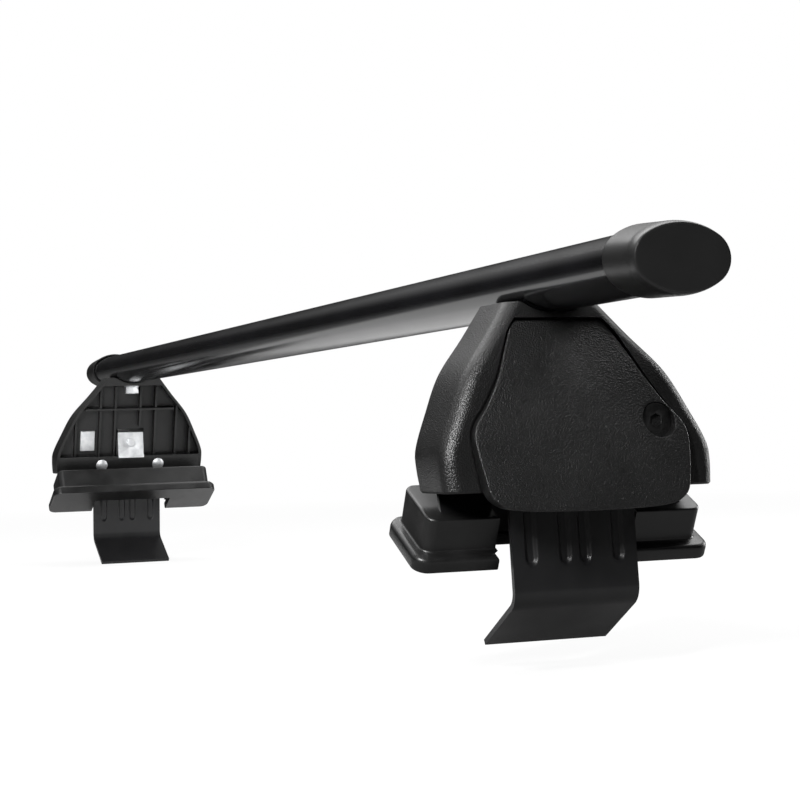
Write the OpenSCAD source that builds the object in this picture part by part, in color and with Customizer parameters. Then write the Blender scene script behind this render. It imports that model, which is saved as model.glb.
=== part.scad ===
// Roof rack crossbar: an oval steel tube on two clamp feet for a car's door frames.
// X runs along the bar, Y across it, Z up. The origin lies under the middle of the bar,
// at the height of the lower hook's tip. A foot is drawn in its own frame: +X outboard,
// Y along its wide face, Z up from the bottom edge of its housing.

/* [Bar] */
// Length over both end caps
bar_length = 1256; // [1200:1:1500]
// Half width of the oval tube
tube_half_w = 22.6; // [21:0.1:26]
// Half height of the oval tube
tube_half_h = 15.7; // [14:0.1:18]
// Radius of the oval's narrow ends
tube_end_r = 12.4; // [11.5:0.1:13.5]
// Wall of the tube
tube_wall = 1.8; // [1.2:0.1:2.5]
// Length of an end cap
cap_length = 33; // [25:0.5:50]
// Wall of an end cap's sleeve
cap_wall = 2.2; // [1.2:0.1:2.5]
// Length over which an end cap draws in
cap_round = 9; // [7:0.5:9]
// How far an end cap draws in at its flat end
cap_inset = 2.3; // [1.2:0.1:3]
// Thickness of an end cap's outer wall
cap_end = 9.5; // [9.5:0.5:12]
// Length of the spigot that an end cap has inside the tube
cap_spigot = 14; // [8:1:20]

/* [Feet on the bar] */
// Distance from an end of the bar to the middle of its foot, before the shift
foot_inset = 97.5; // [95:0.5:140]
// How far the pair of feet stands off the middle of the bar
foot_shift = -25; // [-25:1:0]
// How far a foot slides each way along the bar
foot_travel = 20; // [5:1:25]

/* [Housing] */
// Height of the housing
housing_h = 97; // [92:1:102]
// Half width of the housing at its bottom
housing_half_w = 75.3; // [74:0.1:78]
// Half depth of the housing at its bottom
housing_half_d = 18.45; // [17.5:0.05:20]
// Wall of the housing
housing_wall = 3; // [2.5:0.1:3.5]
// Rounding of the housing's outboard corners
housing_round = 8; // [5:0.5:9]
// How far the back face moves inboard for each millimetre of height
back_slope = 0.31; // [0.28:0.005:0.33]
// Depth of the ribbed recess in the back face
rib_depth = 8; // [8:0.5:10]
// Thickness of a rib
rib_t = 2.2; // [1.5:0.1:3]
// Height of the plain band along the bottom of the back face
band_h = 17; // [15:0.5:19]

/* [Cover] */
// Half width of the cover at its widest
cover_half_w = 59.4; // [57:0.1:61]
// How far the cover stands proud of the housing at their bottom edge
cover_proud = 8; // [7:0.5:9]
// Wall of the cover
cover_wall = 2.5; // [2:0.1:3]
// Gap around the cover
cover_gap = 1.5; // [0.8:0.1:1.8]

/* [Lock] */
// Place of the lock screw across the cover
lock_v = 44.4; // [41:0.1:45]
// Height of the lock screw
lock_z = 34; // [32:0.5:36]
// Diameter of the lock screw's head
lock_d = 17.6; // [14:0.1:18]
// Thickness of the lock screw's head
lock_head_t = 3; // [2.4:0.1:3.2]
// Hexagon of the lock screw, across its flats
lock_key = 6; // [4:0.5:8]
// Diameter of the lock screw's shank
lock_shank_d = 6; // [5:0.1:7]
// Width of the lock plate
lock_plate_w = 14.7; // [12:0.1:16]
// Height of the lock plate
lock_plate_h = 20.9; // [18:0.1:22]

/* [Clamp] */
// Height of the clamp bolt
bolt_z = 30.6; // [29:0.1:32]
// Diameter of the clamp bolt and of the bar bolt
bolt_d = 8; // [6:0.1:8]
// Hexagon of the heads and nuts, across the flats
hex_af = 13; // [12:0.5:13]
// Height of a bolt head
head_t = 5.3; // [4:0.1:5.5]
// Height of the nut
nut_t = 6.5; // [5:0.1:7]
// Side of the square nut plate
nut_plate_w = 26.5; // [24:0.5:28]
// Thickness of the square nut plate and of the lock plate
plate_t = 3; // [2.5:0.1:3]
// Thickness of the washers
washer_t = 1.2; // [1:0.1:1.4]
// Diameter of the washers
washer_d = 16; // [15:0.5:17]

/* [Hook] */
// Half width of the hook
hook_half_w = 35.2; // [33:0.1:35.5]
// Thickness of the hook's steel
hook_t = 3; // [2.5:0.1:3.5]
// Place of the hook's fold, outboard of the middle of the foot
fold_u = 5.3; // [4.5:0.05:7]
// Depth of the hook's fold under the housing
fold_depth = 57.4; // [52:0.1:66]
// Length of the hook's lower flange
flange_length = 46.9; // [40:0.1:50]
// Slope of the hook's lower flange under the horizontal, in degrees
flange_slope = 30.3; // [25:0.1:36]
// Lean of the hook's upright plate, in degrees
hook_lean = 4.9; // [3:0.1:5.5]
// Outer radius of the fold
fold_r = 11; // [7:0.5:14]
// How far the hook can rise
hook_up = 4; // [2:0.5:5]
// How far the hook can drop
hook_down = 16; // [14:0.5:16.5]
// How far the hook at -X hangs below the one at +X
hook_stagger = 13; // [0:0.5:13]
// Depth of the pressed flutes
flute_depth = 1.2; // [0.6:0.1:1.5]

/* [Rubber foot] */
// Slope of the rubber foot under the horizontal, in degrees
pad_tilt = 26.4; // [25:0.1:28]
// How far the rubber foot's block reaches past the housing
block_over = 2.7; // [1:0.1:5]
// How far the rubber foot's flange reaches past its block
flange_over = 6; // [3:0.1:8]
// Width of the block
block_w = 38.5; // [37.5:0.1:40]
// Width of the flange
flange_w = 46.9; // [45:0.1:49]
// Height of the whole rubber foot
pad_h = 26.6; // [25:0.1:30]
// Thickness of the flange
flange_t = 8; // [6:0.5:9]
// Rubber left around the pocket that holds the base bracket
pocket_wall = 4; // [3.5:0.1:4.5]
// Depth of that pocket's floor under the top of the block
pocket_depth = 5; // [4.6:0.1:5.4]
// Half width of the notch that the hook hangs in
notch_half = 38.8; // [38:0.1:40.5]
// Thickness of the steel base bracket
base_t = 2.5; // [2:0.1:2.8]

/* [Hidden] */
$fn = 48;
SIDES = ["right", "left"];
PIECES = ["housing", "cover", "lock_screw", "lock_plate", "clamp_bolt", "clamp_washer",
          "nut_plate", "base_bracket", "rivets", "hook", "rubber_foot", "saddle_liner",
          "t_bolt", "t_washer", "t_nut"];

// Clearances: fits that turn or slide, gaps between bodies, and holes around a shank
run_gap = 0.05;
body_gap = 0.3;
hole_gap = 0.4;
// Cuts reach this far past the face that they open
over = 1;
// Thickness of the slices that a hull joins
slice = 0.02;

// The oval is drawn with four arcs: narrow ends of tube_end_r, flat sides of flat_r
end_c = tube_half_w - tube_end_r;
rise = tube_half_h - tube_end_r;
flat_c = (end_c * end_c - rise * rise) / (2 * rise);
flat_r = flat_c + tube_half_h;
cap_grow = body_gap + cap_wall;

// The bar's axis above the housing's bottom: the tube sinks a little into the saddle
saddle_sink = 5.2;
axis_z = housing_h - saddle_sink + tube_half_h;
liner_t = 1;
shelf_top = axis_z - tube_half_h - body_gap - liner_t;
shelf_t = 2;
slot_half = bolt_d / 2 + hole_gap;
t_head_t = 4;
t_head_half = 9;
nut_room = hex_af / cos(30) + 1.6;

// Hook: its outward normals before and after the fold, and the fold's centre
normal_a = [cos(hook_lean), sin(hook_lean)];
normal_b = [sin(flange_slope), -cos(flange_slope)];
fold_c = [fold_u, -fold_depth] - (normal_a + normal_b) * fold_r / (1 + normal_a * normal_b);
hook_tip_z = -fold_depth - flange_length * sin(flange_slope);
base_z = hook_stagger - hook_tip_z;
flute_v = [-24.6, -5.6, 5.6, 24.6];
flute_w = 6.2;
flute_end = 40;
slot_low = hook_up;
slot_high = hook_down;
hook_top = bolt_z + slot_high + bolt_d / 2 + hole_gap + 4.5;
foot_spacing = bar_length - 2 * foot_inset;

// Back face: its lean, and the base bracket and rivets that it holds
lean = atan(back_slope);
strip_n = housing_wall + 0.2;
strip_top = 14.5;
rivet_v = 29.6;
rivet_z = 7.6;
rivet_head_d = 12;
rivet_d = 5;
leg_in = notch_half + 1.5;
leg_out = housing_half_w - housing_wall - 4;
// Ribs across the back face, as shares of the housing's half width, and the level one
rib_shares = [-0.83, -0.63, -0.335, 0.225, 0.43, 0.76];
short_rib = -0.12;
level_rib = [-0.59, 0.64, 0.68];

// Rubber foot, in its tilted frame: p runs outboard and down, q stands up from the slope
rim_q = -13;
block_p = -34.6;
flange_p = -35.8;
block_half = housing_half_w + block_over;
flange_half = block_half + flange_over;
pad_bottom = rim_q - pad_h;
pocket_floor = rim_q - pocket_depth;
web_t = 21.8;
pad_corner = 8;
// Lower end of the bracket's legs, along the back face: where their edge meets the pocket's floor
leg_low = (pocket_floor + body_gap + housing_half_d * sin(pad_tilt) - strip_n * sin(lean + pad_tilt))
    / cos(lean + pad_tilt);

// Curves of the foot: [share of the housing's height, share of the half width, of the height, of the cover's stand]
width_curve = [[0, 1], [0.12, 1.012], [0.22, 1], [0.41, 0.893], [0.62, 0.752], [0.82, 0.537], [1, 0.353]];
setback_curve = [[-0.13, 0.005], [0, 0.017], [0.21, 0.043], [0.41, 0.092], [0.62, 0.155], [0.82, 0.245], [1, 0.325]];
proud_curve = [[-0.12, 1.22], [0, 1.08], [0.21, 0.67], [0.3, 0.4], [0.46, 0.32], [0.62, 0.03], [0.78, -0.19], [0.9, -0.31]];
// Right half of the cover's outline: [share of its half width, share of the housing's height]
cover_curve = [[0, -0.11], [0.5, -0.104], [0.77, -0.085], [0.886, -0.047], [0.936, 0], [0.972, 0.11],
               [0.998, 0.22], [1, 0.29], [0.96, 0.352], [0.853, 0.433], [0.758, 0.52], [0.68, 0.6],
               [0.61, 0.69], [0.53, 0.79], [0.465, 0.865], [0.43, 0.889], [0.39, 0.897], [0, 0.897]];
cover_low = -0.13 * housing_h;
cover_high = 0.92 * housing_h;
cover_zs = [for (i = [0 : 19]) cover_low + (cover_high + 6 - cover_low) * i / 19];

function back_u(z) = -housing_half_d - back_slope * z;
function front_u(z) = housing_half_d - housing_h * lookup(z / housing_h, setback_curve);
function side_w(z) = housing_half_w * lookup(z / housing_h, width_curve);
function cover_u(z) = front_u(z) + cover_proud * lookup(z / housing_h, proud_curve);
// The cover's rim sinks a little into the housing all round
function cover_base(z) = min(cover_u(z) - cover_wall, front_u(z) - 1.1);
function recess_u(z) = cover_base(z) - hole_gap;
function inner_u(z) = recess_u(z) - housing_wall;
function hook_u(z) = fold_u - (z + fold_depth) * tan(hook_lean);
function foot_x(side) = side * foot_spacing / 2 + foot_shift;
function side_of(i) = i == 0 ? 1 : -1;

// End of the lock screw's hole, which leaves the lock plate's back face whole
lock_end_u = back_u(lock_z) + (rib_depth - plate_t) / cos(lean) + lock_shank_d / 2 * tan(lean) + 0.6;
// Floor of the lock screw's pocket: the head's upper edge comes level with the leaning cover
lock_floor_u = cover_u(lock_z + lock_d / 2) - 0.2 - lock_head_t - body_gap;
// The pocket's own floor, which sinks into the housing's front, and its outer radius
lock_cup_u = lock_floor_u - 1.6;
lock_cup_r = lock_d / 2 + 3;
// Face that the clamp washer bears on, just clear of the leaning hook, and the nut plate's seat
washer_u = hook_u(bolt_z - washer_d / 2) + 0.2;
seat_face = back_u(bolt_z + nut_plate_w / 2) + rib_depth;
nut_seat_d = 13;
// The bar bolt's place, inboard of the housing's top
t_bolt_u = back_u(housing_h) + 11;

// Closed outline moved outwards by d, or inwards where d is negative
function moved(pts, d) = [for (i = [0 : len(pts) - 1])
    let (a = pts[(i + len(pts) - 1) % len(pts)], b = pts[(i + 1) % len(pts)], t = (b - a) / norm(b - a))
    pts[i] + d * [t[1], -t[0]]];

function cover_outline(d) = let (
    half = [for (c = cover_curve) [c[0] * cover_half_w, c[1] * housing_h]],
    left = [for (i = [len(half) - 2 : -1 : 1]) [-half[i][0], half[i][1]]])
    moved(concat(half, left), d);

// Level section of the housing, with its outboard corners rounded
function plan(ub, uf, w, r) = concat(
    [[ub, -w]],
    [for (a = [-90 : 15 : 0]) [uf - r + r * cos(a), -w + r + r * sin(a)]],
    [for (a = [0 : 15 : 90]) [uf - r + r * cos(a), w - r + r * sin(a)]],
    [[ub, w]]);

module oval(grow) {
    xt = end_c * (flat_r + grow) / (flat_r - tube_end_r);
    for (s = [-1, 1]) translate([s * end_c, 0]) circle(tube_end_r + grow);
    intersection() {
        translate([0, -flat_c]) circle(flat_r + grow, $fn = 96);
        translate([0, flat_c]) circle(flat_r + grow, $fn = 96);
        square([2 * xt, 2 * (tube_half_h + grow) + over], center = true);
    }
}

// Outlines drawn across the bar and extruded along it, from x0 to x1
module along_u(x0, x1) translate([x0, 0, 0]) rotate([90, 0, 90]) linear_extrude(x1 - x0) children();
// Outlines drawn in the foot's side view and extruded across it, to a half width
module along_v(half) rotate([90, 0, 0]) linear_extrude(2 * half, center = true) children();
module on_back() translate([-housing_half_d, 0, 0]) rotate([0, -lean, 0]) children();
module on_slope() rotate([0, pad_tilt, 0]) children();
module pin(d, x0, x1) translate([x0, 0, 0]) rotate([0, 90, 0]) cylinder(d = d, h = x1 - x0);
module at_foot(side) translate([foot_x(side), 0, base_z]) rotate([0, 0, side > 0 ? 0 : 180]) children();

module bar_bolt_slot(side) {
    x = foot_x(side) + side * t_bolt_u;
    translate([x, 0, base_z + axis_z - tube_half_h - over]) {
        for (s = [-1, 1]) translate([s * foot_travel, 0, 0]) cylinder(r = slot_half, h = tube_half_h);
        translate([-foot_travel, -slot_half, 0]) cube([2 * foot_travel, 2 * slot_half, tube_half_h]);
    }
}

module crossbar_tube() color([0.07, 0.07, 0.08]) {
    half = bar_length / 2 - cap_end - body_gap;
    difference() {
        translate([0, 0, base_z + axis_z]) along_u(-half, half) difference() {
            oval(0);
            oval(-tube_wall);
        }
        for (side = [1, -1]) bar_bolt_slot(side);
    }
}

// A sleeve and a spigot hold the tube's wall between them, and a hull of slices rounds the end
module end_cap(side) color([0.1, 0.1, 0.1])
    translate([side * bar_length / 2, 0, base_z + axis_z]) rotate([0, 0, side > 0 ? 0 : 180]) {
        difference() {
            along_u(-cap_length, -cap_round) oval(cap_grow);
            along_u(-cap_length - over, -cap_end) oval(body_gap);
        }
        hull() for (a = [0 : 22.5 : 90]) {
            x = -cap_round * (1 - sin(a));
            along_u(x - slice, x) oval(cap_grow - cap_inset * (1 - cos(a)));
        }
        along_u(-cap_end - cap_spigot, -cap_end + slice) difference() {
            oval(-tube_wall - body_gap);
            oval(-tube_wall - body_gap - cap_wall);
        }
    }

// Outer form of the housing, or with hollow true the space inside its walls
module housing_form(hollow) {
    low = hollow ? -over : 0;
    high = hollow ? shelf_top - shelf_t : housing_h;
    steps = 10;
    hull() for (i = [0 : steps]) {
        z = low + (high - low) * i / steps;
        translate([0, 0, min(z, high - slice)]) linear_extrude(slice)
            polygon(hollow ? plan(back_u(z) - over, inner_u(z), side_w(z) - housing_wall, housing_round - housing_wall)
                           : plan(back_u(z), front_u(z), side_w(z), housing_round));
    }
}

// Web, ribs and band that stand inside the housing's back face
module housing_back() {
    on_back() {
        translate([rib_depth, -housing_half_w, 0]) cube([housing_wall, 2 * housing_half_w, 2 * housing_h]);
        translate([0, -housing_half_w, 0]) cube([housing_wall, 2 * housing_half_w, band_h]);
        for (s = rib_shares) translate([2, s * housing_half_w - rib_t / 2, band_h - over])
            cube([rib_depth, rib_t, 2 * housing_h]);
        translate([2, short_rib * housing_half_w - rib_t / 2, bolt_z + nut_plate_w / 2 + 4])
            cube([rib_depth, rib_t, 2 * housing_h]);
        translate([1, level_rib[0] * housing_half_w, level_rib[2] * housing_h])
            cube([rib_depth, (level_rib[1] - level_rib[0]) * housing_half_w, rib_t]);
        // Ledge over the base bracket, and the cheeks that guide the hook's edges
        translate([1, -housing_half_w, strip_top + 1]) cube([rib_depth, 2 * housing_half_w, band_h - strip_top - 1]);
        for (s = [-1, 1]) translate([rib_depth + over, s * (hook_half_w + 0.5 + rib_t / 2) - rib_t / 2, 2])
            cube([housing_h, rib_t, hook_top + hook_up + 4]);
    }
    translate([seat_face, -nut_plate_w / 2 - 1.5, bolt_z - nut_plate_w / 2])
        cube([nut_seat_d, nut_plate_w + 3, nut_plate_w + 1]);
}

module housing() {
    difference() {
        union() {
            difference() {
                housing_form(false);
                housing_form(true);
            }
            intersection() {
                housing_form(false);
                housing_back();
                along_v(housing_half_w) polygon(concat(
                    [for (z = [0 : 8 : housing_h]) [inner_u(z) + over, z]],
                    [[back_u(housing_h) - over, housing_h], [back_u(0) - housing_h, 0]]));
            }
            intersection() {
                housing_form(false);
                translate([0, lock_v, lock_z]) pin(2 * (lock_cup_r + 3), lock_cup_u - hole_gap - 2.5, housing_half_d);
            }
        }
        // Round recess that the lock's cup sinks into
        intersection() {
            along_u(back_u(housing_h), 3 * housing_half_d) polygon(cover_outline(cover_gap));
            translate([0, lock_v, lock_z]) pin(2 * (lock_cup_r + cover_gap), lock_cup_u - hole_gap, 3 * housing_half_d);
        }
        // Recess that the cover sinks into, and the window that the hook and its bolt stand in
        intersection() {
            along_u(back_u(housing_h), 3 * housing_half_d) polygon(cover_outline(cover_gap));
            along_v(housing_half_w) polygon(concat(
                [for (z = cover_zs) [recess_u(z), z]],
                [[3 * housing_half_d, cover_high + 6], [3 * housing_half_d, cover_low]]));
        }
        translate([inner_u(hook_top) - over, -hook_half_w - 0.5, -over])
            cube([3 * housing_half_d, 2 * hook_half_w + 1, hook_top + hook_up + 2]);
        // Seat of the tube, hole of its bolt and pocket of the nut
        translate([0, 0, axis_z]) along_u(back_u(housing_h) - over, housing_half_d) oval(body_gap + liner_t);
        translate([t_bolt_u, 0, shelf_top - 4 * shelf_t]) cylinder(d = bolt_d + 2 * hole_gap, h = housing_h);
        translate([back_u(housing_h) - over, -nut_room / 2, shelf_top - shelf_t - washer_t - nut_t - over])
            cube([t_bolt_u - back_u(housing_h) + over + nut_room / 2, nut_room, washer_t + nut_t + over]);
        // Holes of the clamp bolt, the lock screw and the rivets
        translate([0, 0, bolt_z]) pin(bolt_d + 2 * hole_gap, seat_face - over, 3 * housing_half_d);
        translate([0, lock_v, lock_z]) pin(lock_shank_d + 2 * hole_gap, back_u(lock_z), 3 * housing_half_d);
        for (s = [-1, 1]) on_back() translate([0, s * rivet_v, rivet_z]) pin(rivet_d + 0.1, -over, housing_wall + over);
    }
}

module cover() {
    pocket_r = lock_d / 2 + 0.4;
    front = [for (z = cover_zs) [cover_u(z), z]];
    difference() {
        intersection() {
            along_u(back_u(housing_h), 3 * housing_half_d) polygon(cover_outline(0));
            union() {
                along_v(housing_half_w) polygon(concat(front,
                    [for (i = [len(cover_zs) - 1 : -1 : 0]) [cover_base(cover_zs[i]), cover_zs[i]]]));
                intersection() {
                    translate([0, lock_v, lock_z]) pin(2 * lock_cup_r, lock_cup_u, 3 * housing_half_d);
                    along_v(housing_half_w) polygon(concat(front,
                        [[-housing_h, cover_high + 6], [-housing_h, cover_low]]));
                }
            }
        }
        difference() {
            intersection() {
                along_u(back_u(housing_h), 3 * housing_half_d) polygon(cover_outline(-cover_wall));
                along_v(housing_half_w) polygon(concat(
                    [for (z = cover_zs) [cover_u(z) - cover_wall, z]],
                    [[-2 * cover_proud - housing_h, cover_high + 6], [-2 * cover_proud - housing_h, cover_low]]));
            }
            translate([0, lock_v, lock_z]) pin(2 * lock_cup_r, back_u(housing_h), 3 * housing_half_d);
        }
        translate([0, lock_v, lock_z]) {
            pin(2 * pocket_r, lock_floor_u, 3 * housing_half_d);
            pin(lock_shank_d + 2 * hole_gap, back_u(housing_h), 3 * housing_half_d);
        }
    }
}

module lock_screw() {
    head_u = lock_floor_u + body_gap;
    tip_u = lock_end_u + body_gap;
    translate([0, lock_v, lock_z]) difference() {
        union() {
            pin(lock_d, head_u, head_u + lock_head_t);
            pin(lock_shank_d, tip_u, head_u + over);
        }
        translate([head_u + lock_head_t, 0, 0]) rotate([0, 90, 0])
            cylinder(d = lock_key / cos(30), h = 2 * (lock_head_t - 0.4), center = true, $fn = 6);
    }
}

// The plate that the lock screw's end sinks into
module lock_plate() {
    difference() {
        on_back() translate([rib_depth - plate_t, lock_v - lock_plate_w / 2, lock_z / cos(lean) - lock_plate_h / 2 - 3])
            cube([plate_t, lock_plate_w, lock_plate_h]);
        translate([0, lock_v, lock_z]) pin(lock_shank_d + 2 * body_gap, lock_end_u, 3 * housing_half_d);
    }
}

module clamp_bolt() translate([0, 0, bolt_z]) {
    translate([washer_u + washer_t, 0, 0]) rotate([0, 90, 0])
        cylinder(d = hex_af / cos(30), h = head_t, $fn = 6);
    pin(bolt_d, seat_face - plate_t - 2.5, washer_u + washer_t + over);
}

module clamp_washer() translate([0, 0, bolt_z]) difference() {
    pin(washer_d, washer_u, washer_u + washer_t);
    pin(bolt_d + 2 * run_gap, washer_u - over, washer_u + washer_t + over);
}

// Square plate with a turned-out lower lip
module nut_plate() difference() {
    translate([seat_face - plate_t, -nut_plate_w / 2, bolt_z - nut_plate_w / 2 - 3]) {
        cube([plate_t, nut_plate_w, nut_plate_w]);
        translate([-2, 0, 0]) cube([plate_t, nut_plate_w, 2.5]);
    }
    translate([0, 0, bolt_z]) pin(bolt_d + 2 * run_gap, 2 * back_u(bolt_z), 0);
}

module base_bracket() {
    difference() {
        union() {
            on_back() {
                translate([strip_n, -leg_out, 0.5]) cube([base_t, 2 * leg_out, strip_top]);
                for (s = [-1, 1]) translate([strip_n, s > 0 ? leg_in : -leg_out, leg_low])
                    cube([base_t, leg_out - leg_in, 2 - leg_low]);
            }
            on_slope() for (s = [-1, 1])
                translate([block_p + pocket_wall + 0.8, s > 0 ? leg_in : -leg_out, pocket_floor + body_gap])
                    cube([block_w - 2 * pocket_wall - 1.4, leg_out - leg_in, base_t]);
        }
        for (s = [-1, 1]) on_back() translate([0, s * rivet_v, rivet_z]) pin(rivet_d + 0.1, -over, 3 * housing_wall);
    }
}

// Dome-headed rivets through the band and the base bracket
module rivets() for (s = [-1, 1]) on_back() translate([0, s * rivet_v, rivet_z]) {
    dome = 2.1;
    sphere_r = (rivet_head_d * rivet_head_d / 4 + dome * dome) / (2 * dome);
    intersection() {
        translate([sphere_r - dome, 0, 0]) sphere(sphere_r);
        pin(rivet_head_d, -dome - over, 0);
    }
    pin(rivet_d, -slice, strip_n + base_t + slice);
    pin(rivet_d + 4, strip_n + base_t, strip_n + base_t + 1.2);
}

function fold_arc(r) = [for (i = [0 : 8]) let (a = hook_lean - i * (hook_lean + 90 - flange_slope) / 8)
    fold_c + r * [cos(a), sin(a)]];

module hook() {
    tip = [fold_u, -fold_depth] + flange_length * [-cos(flange_slope), -sin(flange_slope)];
    top = [hook_u(hook_top), hook_top];
    difference() {
        along_v(hook_half_w) polygon(concat([top], fold_arc(fold_r), [tip, tip - normal_b * hook_t],
            [for (i = [8 : -1 : 0]) fold_arc(fold_r - hook_t)[i]], [top - normal_a * hook_t]));
        // Slot for the clamp bolt and the pressed flutes
        for (z = [bolt_z - slot_low, bolt_z + slot_high]) translate([0, 0, z]) pin(2 * slot_half, -30, 30);
        translate([-30, -slot_half, bolt_z - slot_low]) cube([60, 2 * slot_half, slot_low + slot_high]);
        for (v = flute_v) translate([hook_u(-flute_end), v, -flute_end]) rotate([0, -hook_lean, 0]) {
            translate([-flute_depth, -flute_w / 2, 0]) cube([10, flute_w, flute_end + 8]);
            for (z = [0, flute_end + 8]) translate([-flute_depth, 0, z]) pin(flute_w, 0, 10);
        }
    }
}

// Upright blocks with rounded corners, as the moulded rubber has
module rounded_block(p0, q0, w, half, h, r) difference() {
    translate([p0, -half, q0]) cube([w, 2 * half, h]);
    for (sp = [0, 1]) for (sv = [-1, 1])
        translate([p0 + sp * w, sv * half, q0 - over]) rotate([0, 0, sp > 0 ? (sv > 0 ? 180 : 90) : (sv > 0 ? 270 : 0)])
            difference() {
                translate([-over, -over, 0]) cube([r + over, r + over, h + 2 * over]);
                translate([r, r, -over]) cylinder(r = r, h = h + 4 * over);
            }
}

// The base bracket's plates lie in closed pockets, and its legs come out through the top of the block
module rubber_foot() difference() {
    on_slope() difference() {
        union() {
            rounded_block(flange_p, pad_bottom, flange_w, flange_half, flange_t, pad_corner);
            rounded_block(block_p, pad_bottom + flange_t - slice, block_w, block_half, pad_h - flange_t + slice, pad_corner - 2);
        }
        for (s = [-1, 1]) translate([block_p + pocket_wall, s > 0 ? leg_in - body_gap : -leg_out - body_gap, pocket_floor])
            cube([block_w - 2 * pocket_wall, leg_out - leg_in + 2 * body_gap, base_t + 2 * body_gap]);
        translate([flange_p + web_t, -notch_half, pad_bottom - over])
            cube([2 * flange_w, 2 * notch_half, pad_h + 3 * over]);
    }
    on_back() for (s = [-1, 1])
        translate([strip_n - body_gap, s > 0 ? leg_in - body_gap : -leg_out - body_gap, leg_low - body_gap])
            cube([base_t + 2 * body_gap, leg_out - leg_in + 2 * body_gap, 2 * band_h]);
}

module saddle_liner() difference() {
    intersection() {
        translate([0, 0, axis_z]) along_u(back_u(housing_h) + 2, front_u(housing_h) - 2) difference() {
            oval(body_gap + liner_t);
            oval(body_gap);
        }
        translate([-housing_h, -housing_half_w, 0]) cube([2 * housing_h, 2 * housing_half_w, housing_h - 0.5]);
    }
    translate([t_bolt_u, 0, 0]) cylinder(d = bolt_d + 2 * hole_gap, h = axis_z);
}

module t_bolt() translate([t_bolt_u, 0, 0]) {
    head_z = axis_z - tube_half_h + tube_wall + t_head_half * t_head_half / (2 * (flat_r - tube_wall)) + body_gap;
    translate([-7, -t_head_half, head_z]) cube([14, 2 * t_head_half, t_head_t]);
    low = shelf_top - shelf_t - washer_t - nut_t - body_gap;
    translate([0, 0, low]) cylinder(d = bolt_d, h = head_z - low + slice);
}

module t_washer() translate([t_bolt_u, 0, shelf_top - shelf_t - washer_t]) difference() {
    cylinder(d = washer_d, h = washer_t);
    translate([0, 0, -over]) cylinder(d = bolt_d + 2 * run_gap, h = washer_t + 2 * over);
}

module t_nut() translate([t_bolt_u, 0, shelf_top - shelf_t - washer_t - nut_t]) difference() {
    cylinder(d = hex_af / cos(30), h = nut_t, $fn = 6);
    translate([0, 0, -over]) cylinder(d = bolt_d + 2 * run_gap, h = nut_t + 2 * over);
}

black_plastic = [0.09, 0.09, 0.09];
black_steel = [0.05, 0.05, 0.055];
rubber = [0.06, 0.06, 0.06];
zinc = [0.78, 0.79, 0.8];

module foot_piece(piece, side) {
    if (piece == "housing") color(black_plastic) housing();
    if (piece == "cover") color(black_plastic) cover();
    if (piece == "lock_screw") color(black_steel) lock_screw();
    if (piece == "lock_plate") color(zinc) lock_plate();
    if (piece == "clamp_bolt") color(zinc) clamp_bolt();
    if (piece == "clamp_washer") color(zinc) clamp_washer();
    if (piece == "nut_plate") color(zinc) nut_plate();
    if (piece == "base_bracket") color(black_steel) base_bracket();
    if (piece == "rivets") color(zinc) rivets();
    if (piece == "rubber_foot") color(rubber) rubber_foot();
    if (piece == "saddle_liner") color(rubber) saddle_liner();
    if (piece == "t_bolt") color(zinc) t_bolt();
    if (piece == "t_washer") color(zinc) t_washer();
    if (piece == "t_nut") color(zinc) t_nut();
    drop = side > 0 ? 0 : hook_stagger;
    if (piece == "hook") color(black_steel) translate([drop * tan(hook_lean), 0, -drop]) hook();
}

crossbar_tube();
end_cap(1);  // right_end_cap
end_cap(-1);  // left_end_cap
for (i = [0, 1]) for (p = PIECES)
    at_foot(side_of(i)) foot_piece(p, side_of(i));
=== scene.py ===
"""Looks of a roof rack crossbar: black coated tube, grained plastic feet, rubber pads and steel hooks."""
import math

import bmesh
import bpy
from mathutils import Matrix, Vector
from mathutils.geometry import delaunay_2d_cdt


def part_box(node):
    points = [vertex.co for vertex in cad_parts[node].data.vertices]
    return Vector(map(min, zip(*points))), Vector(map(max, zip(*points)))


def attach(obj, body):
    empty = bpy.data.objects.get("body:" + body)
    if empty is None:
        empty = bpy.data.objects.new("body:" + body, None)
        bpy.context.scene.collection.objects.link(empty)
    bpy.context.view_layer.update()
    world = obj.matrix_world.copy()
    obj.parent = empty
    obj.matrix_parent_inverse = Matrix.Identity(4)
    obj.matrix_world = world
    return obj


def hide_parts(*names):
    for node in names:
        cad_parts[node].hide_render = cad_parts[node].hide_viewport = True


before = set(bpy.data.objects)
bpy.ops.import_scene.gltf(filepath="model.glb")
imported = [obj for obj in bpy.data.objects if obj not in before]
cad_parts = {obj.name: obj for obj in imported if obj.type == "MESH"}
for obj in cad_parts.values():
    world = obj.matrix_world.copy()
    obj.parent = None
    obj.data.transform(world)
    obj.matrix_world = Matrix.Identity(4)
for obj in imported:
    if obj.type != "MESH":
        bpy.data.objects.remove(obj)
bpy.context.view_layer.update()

MM = 0.001
SIDES = {"right": 1, "left": -1}
FRAME_MATRIX = Matrix.Scale(MM, 4)


# Frame values, in millimetres
def node_box(node):
    low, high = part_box(node)
    return [v / MM for v in low], [v / MM for v in high]


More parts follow.
